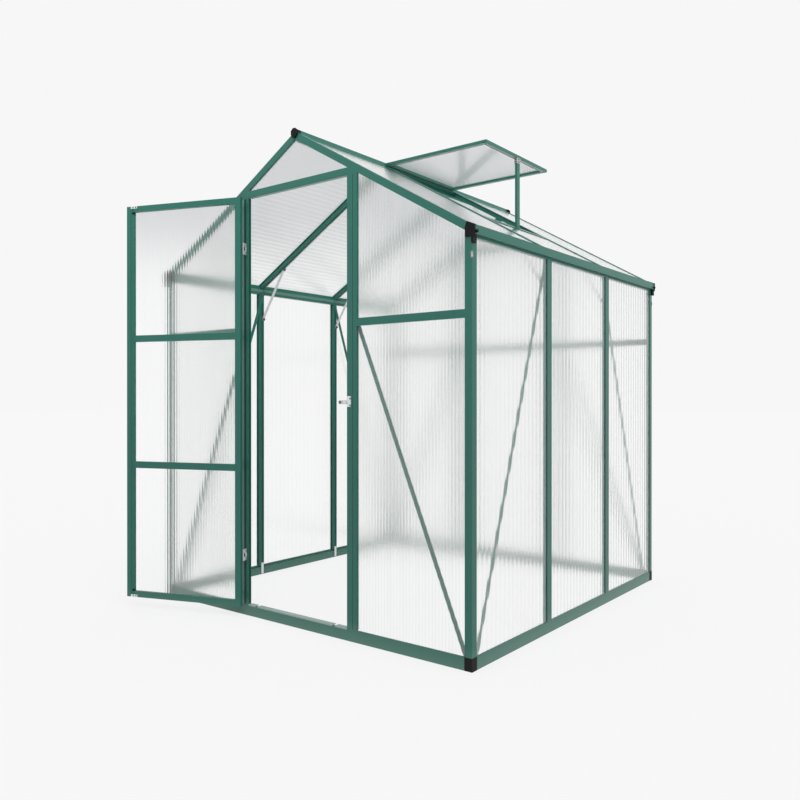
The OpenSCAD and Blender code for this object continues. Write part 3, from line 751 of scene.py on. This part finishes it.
def makeVentStay(setting):
    low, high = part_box("vent_stay")
    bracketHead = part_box("vent_bracket")[1].z
    middle = (low + high) / 2
    half, deep, wall = setting["width"] / 2, setting["deep"] / 2, setting["wall"]
    section = (
        (deep, -half), (-deep, -half), (-deep, wall - half), (deep - wall, wall - half),
        (deep - wall, half - wall), (-deep, half - wall), (-deep, half), (deep, half),
    )
    levels = (low.z + setting["footGap"], high.z + setting["past"])
    shape = bmesh.new()
    loft(shape, [[Vector((middle.x + x, middle.y + y, z)) for x, y in section] for z in levels])
    addPiece("vent_stay_channel", shape, greenCoat, "house", "green_frame", "vent_stay")

    shape = bmesh.new()
    up, thick, earRound = Vector((0, 0, 1)), setting["bracketThick"], setting["earRound"]
    wide, tall = setting["bracketWidth"], setting["bracketHeight"]
    z = bracketHead - tall / 2
    ear = half + setting["earGap"]
    for way in (1, -1):
        place = (middle.x + way * deep, middle.y, z)
        plate(shape, place, (0, way, 0), up, (wide, tall), thick, setting["bracketRound"])
    for way in (-1, 1):
        place = (middle.x, middle.y + way * ear, z)
        plate(shape, place, (way, 0, 0), up, (2 * deep, tall), thick, earRound)
    place = (middle.x, middle.y, bracketHead - thick - sunk / 2)
    size = (2 * (deep + setting["capOver"]), wide)
    plate(shape, place, (1, 0, 0), (0, 1, 0), size, thick, earRound)
    addPiece("vent_stay_bracket", shape, zinc, "house", "bright_metal", "vent_bracket")

    shape = bmesh.new()
    size = (setting["slotWidth"], setting["slotHeight"])
    sideSize = (setting["sideSlotWidth"], setting["slotHeight"])
    for level in setting["slotLevels"]:
        for way in (1, -1):
            place = (middle.x + way * (deep + thick - sunk / 2), middle.y, z + level)
            plate(shape, place, (0, way, 0), up, size, markThick, setting["slotRound"])
        for way in (-1, 1):
            place = (middle.x, middle.y + way * (ear + thick - sunk / 2), z + level)
            plate(shape, place, (way, 0, 0), up, sideSize, markThick, setting["slotRound"])
    for drop in setting["pegs"]:
        place = (middle.x, middle.y + half - 2 * sunk, high.z - drop)
        knob(shape, place, (0, 1, 0), setting["peg"], setting["pegSides"])
    addPiece("vent_stay_slots", shape, blackCap, "house", "black_cap")


# Painted lines: pale strips for painted highlights where edges catch the light, and dark strips for
# painted shade in the gaps beside them

paintedLines = {
    "short": 0.001,  # gap at the ends of the painted lines
    # painted highlight along the base rail's top in the doorway
    "thresholdShort": 0.0005,
    "thresholdHeight": 0.005,
    "thresholdProud": 0.0012,
    "thresholdBreaks": ((0.046, 0.060), (0.082, 0.068)),  # from the doorway's two sides
    "headerHighlight": (0.006, 0.004),  # width and thickness, as in the other pairs
    "headerIn": 0.007,  # behind the header's face
    # painted highlight: the gutter's band, and the band round the vent sash's underside
    "band": (0.015, 0.0008),
    "bandRise": 0.021,  # above the eave beam's foot
    "bandShort": 0.035,  # of the corner posts' outer faces
    # painted highlights under the roof bars
    "barHighlight": (0.008, 0.0008),
    "barHighlightAside": 0.0095,  # off the roof bar's middle
    "barHighlightEnds": (0.05, 0.01),  # from the ridge and from the studs
    # painted shade beside the stud caps
    "capShade": (0.0022, 0.0008),
    "capShadeAside": 0.0012,  # off the stud cap's edge
    # painted shade in the gap by the open leaf's hinge side
    "doorShade": (0.013, 0.0006),
    "doorShadeAside": 0.0165,  # from the doorway's hinge side
    # painted highlight on the post's face beside the doorway
    "doorFace": (0.0145, 0.0006),
    "doorFaceAside": 0.0075,
    # painted shade where the right post's face steps
    "stepShade": (0.0022, 0.0004),
    "stepShadeShare": 0.57,  # across the right post
    "headShort": 0.035,  # of the right post's head
    "sashIn": 0.0115,
}


def paintDoorwayLines(setting, pale, baseTop):
    # painted highlights along the base rail's top in the doorway, and under the header
    front = postLow.y
    edge = postLow.x - setting["thresholdShort"]
    tall, proud = setting["thresholdHeight"], setting["thresholdProud"]
    (leftEnd, leftStart), (rightEnd, rightStart) = setting["thresholdBreaks"]
    stretches = (
        (-edge, leftEnd - edge), (leftStart - edge, edge - rightEnd), (edge - rightStart, edge),
    )
    for ends in stretches:
        upright = [(x, front + sunk, baseTop - tall / 2) for x in ends]
        strap(pale, upright, (0, 0, 1), tall, proud)
        level = [(x, 0, baseTop - sunk) for x in ends]
        strap(pale, level, (0, 1, 0), frameDeep + 2 * proud, proud)
    # painted highlight under the header
    headerLine = [(x, front + setting["headerIn"], headerLow.z + sunk) for x in (-edge, edge)]
    strap(pale, headerLine, (0, -1, 0), *setting["headerHighlight"])


def paintSideLines(setting, pale, soft, dark, baseTop):
    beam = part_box("eave_gutter_right")[0]
    bandShort = setting["bandShort"]
    head, foot = setting["barHighlightEnds"]
    levels = (baseTop + setting["short"], beam.z - setting["short"])
    for side in (-1, 1):
        mirror = Matrix.Diagonal((side, 1, 1))
        # painted highlight along the gutter's band
        ends = [mirror @ Vector((beam.x + sunk, y, beam.z + setting["bandRise"]))
                for y in (cornerLow.y + bandShort, cornerHigh.y - bandShort)]
        strap(soft, ends, (0, 0, -side), *setting["band"])
        for y in studPlaces:
            # painted highlight under each roof bar
            ends = [mirror @ underRoof(x, y + setting["barHighlightAside"], barFoot - sunk)
                    for x in (head, studLow.x - foot)]
            strap(pale, ends, (0, -side, 0), *setting["barHighlight"])
            # painted shade beside each stud cap
            for way in (-1, 1):
                beside = y + way * (barHalf + setting["capShadeAside"])
                ends = [(side * (studHigh.x - sunk), beside, z) for z in levels]
                strap(dark, ends, (0, side, 0), *setting["capShade"])


def paintDoorPostLines(setting, soft, dark, baseTop):
    levels = (baseTop + setting["short"], postHigh.z - setting["headShort"])
    # painted shade in the gap by the leaf, a painted highlight on the post's face, and painted shade
    # at the face's step
    shadeWidth = setting["doorShade"][0]
    shut = -postLow.x - setting["doorShadeAside"] - shadeWidth / 2
    face = shut - shadeWidth / 2 - setting["doorFaceAside"]
    stepShade = postLow.x + (postHigh.x - postLow.x) * setting["stepShadeShare"]
    for shape, x, key in ((dark, shut, "doorShade"), (soft, face, "doorFace"), (dark, stepShade, "stepShade")):
        strap(shape, [(x, postLow.y + sunk, z) for z in levels], (-1, 0, 0), *setting[key])


def paintSashLines(setting, pale):
    low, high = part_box("vent_sash")
    # painted highlight round the sash's underside
    corners = [Vector((x, y, low.z + sunk)) for x, y in (
        (low.x, low.y), (high.x, low.y), (high.x, high.y), (low.x, high.y),
    )]
    for start, end in zip(corners, corners[1:] + corners[:1]):
        along = (end - start).normalized()
        within = Vector((-along.y, along.x, 0))
        inset = setting["sashIn"]
        ends = [start + (along + within) * inset, end - (along - within) * inset]
        strap(pale, ends, -within, *setting["band"])


def makePaintedLines(setting):
    pale, soft, dark = bmesh.new(), bmesh.new(), bmesh.new()
    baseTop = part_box("base_rail_front")[1].z
    paintDoorwayLines(setting, pale, baseTop)
    paintSideLines(setting, pale, soft, dark, baseTop)
    paintDoorPostLines(setting, soft, dark, baseTop)
    paintSashLines(setting, pale)
    addPiece("painted_highlights", pale, highlightTrim, "house", "green_frame")
    addPiece("painted_soft_highlights", soft, softHighlightTrim, "house", "green_frame")
    addPiece("painted_shades", dark, shadeGreen, "house", "green_frame")


# Bolts and screws, spread on points, a mesh for each kind and body

hexBolt = {
    "headRadius": 0.0052,
    "headHeight": 0.0042,
    "washerRadius": 0.0078,
    "washerHeight": 0.0012,
    "threadRadius": 0.003,
    "threadHeight": 0.0075,
}

panScrew = {
    "headRadius": 0.0028,
    "headHeight": 0.0014,
    "washerRadius": 0.0036,
    "washerHeight": 0.0006,
    "threadRadius": 0.0014,
    "threadHeight": 0.0018,
}

fixingSides = {"head": 6, "washer": 14, "thread": 10}


def turned(tree, sides, radius, height):  # an upright prism that stands on its own foot
    sizes = {"Vertices": sides, "Radius": radius, "Depth": height}
    shape = addNode(tree, "GeometryNodeMeshCylinder", None, sizes)
    lift = addNode(tree, "ShaderNodeCombineXYZ", None, {"Z": height * 0.5})
    return addNode(tree, "GeometryNodeTransform", None, {"Geometry": shape, "Translation": lift})


def fixingTree(name, setting, material):
    tree = bpy.data.node_groups.new(name, "GeometryNodeTree")
    tree.interface.new_socket("Geometry", in_out="INPUT", socket_type="NodeSocketGeometry")
    sockets = {}
    for key in setting:
        socket = tree.interface.new_socket(key, in_out="INPUT", socket_type="NodeSocketFloat")
        sockets[key] = socket.identifier
    tree.interface.new_socket("Geometry", in_out="OUTPUT", socket_type="NodeSocketGeometry")
    given = addNode(tree, "NodeGroupInput")
    parts = [
        turned(tree, sides, given.out(part + "Radius"), given.out(part + "Height"))
        for part, sides in fixingSides.items()
    ]
    bolt = addNode(tree, "GeometryNodeJoinGeometry", None, {0: parts})
    vector = {"data_type": "FLOAT_VECTOR"}
    facing = addNode(tree, "GeometryNodeInputNamedAttribute", vector, {"Name": "facing"})
    turn = addNode(tree, "FunctionNodeAlignRotationToVector", {"axis": "Z"}, {"Vector": facing})
    placed = addNode(tree, "GeometryNodeInstanceOnPoints", None, {
        "Points": given, "Instance": bolt, "Rotation": turn,
    })
    real = addNode(tree, "GeometryNodeRealizeInstances", None, {"Geometry": placed})
    finished = addNode(tree, "GeometryNodeSetMaterial", None, {"Geometry": real, "Material": material})
    addNode(tree, "NodeGroupOutput", None, {0: finished})
    return tree, sockets


def makeFixings(name, points, setting, body):  # points are pairs of a place and a facing
    mesh = bpy.data.meshes.new(name + "_points")
    mesh.from_pydata([tuple(place) for place, facing in points], [], [])
    facings = mesh.attributes.new("facing", "FLOAT_VECTOR", "POINT")
    facings.data.foreach_set("vector", [part for place, facing in points for part in facing])
    holder = bpy.data.objects.new(name + "_points", mesh)
    bpy.context.scene.collection.objects.link(holder)
    modifier = holder.modifiers.new("fixings", "NODES")
    modifier.node_group, sockets = fixingTree(name, setting, darkPlate)
    for key, value in setting.items():
        modifier[sockets[key]] = value
    evaluated = holder.evaluated_get(bpy.context.evaluated_depsgraph_get())
    made = bpy.data.meshes.new_from_object(evaluated)
    bpy.data.objects.remove(holder)
    made.name = name
    placePiece(name, made, body, "bright_metal")


boltPlaces = {
    "braceIn": 0.009,  # from a brace's ends
    "cornerIn": 0.018,  # from the corner posts' outer faces
    "cornerUp": 0.009,  # above the braces' heads
    "headerOut": 0.027,  # beside the header
    "headerDown": 0.015,
    "postBack": 0.003,  # from the braces' face to the posts'
    "barTop": 0.075,  # from the ridge
    "barEnd": 0.03,  # from the studs
}


def frameBolts(setting):  # brace ends, post joints and roof bars
    bolts = []
    inset = setting["braceIn"]
    for node, facing in (("braces_front", 1), ("braces_back", -1)):
        low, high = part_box(node)
        y = high.y if facing > 0 else low.y
        postY = y - facing * setting["postBack"]
        joints = (
            (high.x - inset, y, low.z + inset),
            (postHigh.x - inset, y, high.z - inset),
            (cornerHigh.x - setting["cornerIn"], postY, high.z + setting["cornerUp"]),
            (headerHigh.x + setting["headerOut"], postY, headerHigh.z - setting["headerDown"]),
        )
        for side in (-1, 1):
            bolts += [((side * x, y, z), (0, facing, 0)) for x, y, z in joints]
    low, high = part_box("braces_right")
    for side in (-1, 1):
        for y in (low.y + inset, high.y - inset):
            bolts.append(((side * low.x, y, low.z + inset), (-side, 0, 0)))
        for y in studPlaces:
            for x in (setting["barTop"], studLow.x - setting["barEnd"]):
                place = underRoof(x, y, barFoot)
                bolts.append(((side * place.x, y, place.z), (-side * roofOut.x, 0, -roofOut.z)))
    return bolts


bolts = frameBolts(boltPlaces)
clipScrews = []
leafScrews = []
makeKneeStraps(kneeStrap, bolts)
makeCornerClips(cornerClip, clipScrews)
makeLeafCorners(leafCorner, leafScrews)
makeCatch(catch)
makeVentStay(ventStay)
makePaintedLines(paintedLines)
makeFixings("frame_bolts", bolts, hexBolt, "house")
makeFixings("clip_screws", clipScrews, panScrew, "house")
makeFixings("leaf_screws", leafScrews, panScrew, "door")
print("small pieces and", len(bolts) + len(clipScrews) + len(leafScrews), "fixings made")


# Floor, sky and light

studio = {
    "backdrop": 0.93,  # what the camera sees all round
    "lightbox": 0.955,  # the same through the sheets
    "upper": (0.655, 0.665, 0.675, 1),  # what shows overhead through the sheets
    "upperFrom": (0.138, 0.232),  # how steeply up that change starts and ends
    "skyLight": 0.72,
    "floorColour": (0.72, 0.72, 0.72, 1),
    "shadowShare": 0.18,
    "floorLight": 1.052,  # how brightly an open white floor is lit
    "sunStrength": 1.5,
    "sunAngle": 50,
    "sunFrom": (2.2, -1.6, 3.4),
    "floorHalf": 60.0,
}


def makeFloor(setting):
    half = setting["floorHalf"]
    mesh = bpy.data.meshes.new("floor")
    corners = [(-half, -half, 0), (half, -half, 0), (half, half, 0), (-half, half, 0)]
    mesh.from_pydata(corners, [], [(0, 1, 2, 3)])
    floor = bpy.data.objects.new("floor", mesh)
    bpy.context.scene.collection.objects.link(floor)
    material, tree = newMaterial("pale_floor")
    seen = seenDirectly(tree)
    plain = addNode(tree, "ShaderNodeBsdfDiffuse", None, {"Color": setting["floorColour"]})
    share = setting["shadowShare"]
    soft = addNode(tree, "ShaderNodeBsdfDiffuse", None, {"Color": (share, share, share, 1)})
    lit = share * setting["floorLight"]
    colour = surroundings(tree, setting["backdrop"] - lit, setting["lightbox"] - lit)
    glow = addNode(tree, "ShaderNodeEmission", None, {"Color": colour, "Strength": 1.0})
    shown = addNode(tree, "ShaderNodeAddShader", None, {0: soft, 1: glow})
    finishMaterial(tree, addNode(tree, "ShaderNodeMixShader", None, {0: seen, 1: plain, 2: shown}))
    mesh.materials.append(material)


def surroundings(tree, level, through):  # a grey level, and the level that shows through the sheets
    sheets = addNode(tree, "ShaderNodeLightPath").out("Is Transmission Ray")
    return mixColour(tree, sheets, (level, level, level, 1), (through, through, through, 1))


def seenDirectly(tree):  # 1 for what the camera sees, also in metal and through the sheets
    path = addNode(tree, "ShaderNodeLightPath")
    rays = path.out("Is Camera Ray") + path.out("Is Glossy Ray") + path.out("Is Transmission Ray")
    return rays.math("MINIMUM", 1.0)


def makeSky(setting):
    world = bpy.data.worlds.new("studio")
    world.use_nodes = True
    tree = world.node_tree
    tree.nodes.clear()
    lighting = addNode(tree, "ShaderNodeBackground", None, {0: (1, 1, 1, 1), 1: setting["skyLight"]})
    direction = addNode(tree, "ShaderNodeTexCoord").out("Generated")
    steepness = addNode(tree, "ShaderNodeSeparateXYZ", None, {0: direction}).out("Z")
    start, end = setting["upperFrom"]
    share = addNode(tree, "ShaderNodeMapRange", {"interpolation_type": "SMOOTHSTEP"}, {
        "Value": steepness, "From Min": start, "From Max": end,
    })
    through = addNode(tree, "ShaderNodeLightPath").out("Is Transmission Ray")
    colour = surroundings(tree, setting["backdrop"], setting["lightbox"])
    colour = mixColour(tree, share * through, colour, setting["upper"])
    shown = addNode(tree, "ShaderNodeBackground", None, {0: colour, 1: 1.0})
    mixed = addNode(tree, "ShaderNodeMixShader", None, {0: seenDirectly(tree), 1: lighting, 2: shown})
    addNode(tree, "ShaderNodeOutputWorld", None, {"Surface": mixed})
    bpy.context.scene.world = world


def makeSun(setting):
    light = bpy.data.lights.new("soft_sun", "SUN")
    light.energy = setting["sunStrength"]
    light.angle = math.radians(setting["sunAngle"])
    sun = bpy.data.objects.new("soft_sun", light)
    sun.rotation_euler = Vector(setting["sunFrom"]).to_track_quat("Z", "Y").to_euler()
    sun.visible_glossy = False  # the sheets and metal show plain surroundings, without glare
    sun.visible_transmission = False
    bpy.context.scene.collection.objects.link(sun)


makeFloor(studio)
makeSky(studio)
makeSun(studio)
print("studio ready")


# Camera: eye height, looking nearly level at the near corner

shot = {
    "place": (2.4383, -2.3927, 0.9994),
    "azimuth": 37.71,
    "pitch": -0.108,
    "lens": 34.79,
    "sensor": 36.0,
    "shiftX": -0.0042,
}

cameraData = bpy.data.cameras.new("camera")
cameraData.lens = shot["lens"]
cameraData.sensor_width = shot["sensor"]
cameraData.shift_x = shot["shiftX"]
camera = bpy.data.objects.new("camera", cameraData)
camera.location = shot["place"]
camera.rotation_euler = (math.radians(90 + shot["pitch"]), 0, math.radians(shot["azimuth"]))
bpy.context.scene.collection.objects.link(camera)
bpy.context.scene.camera = camera
bpy.context.scene.view_settings.view_transform = "Standard"
print("camera ready")
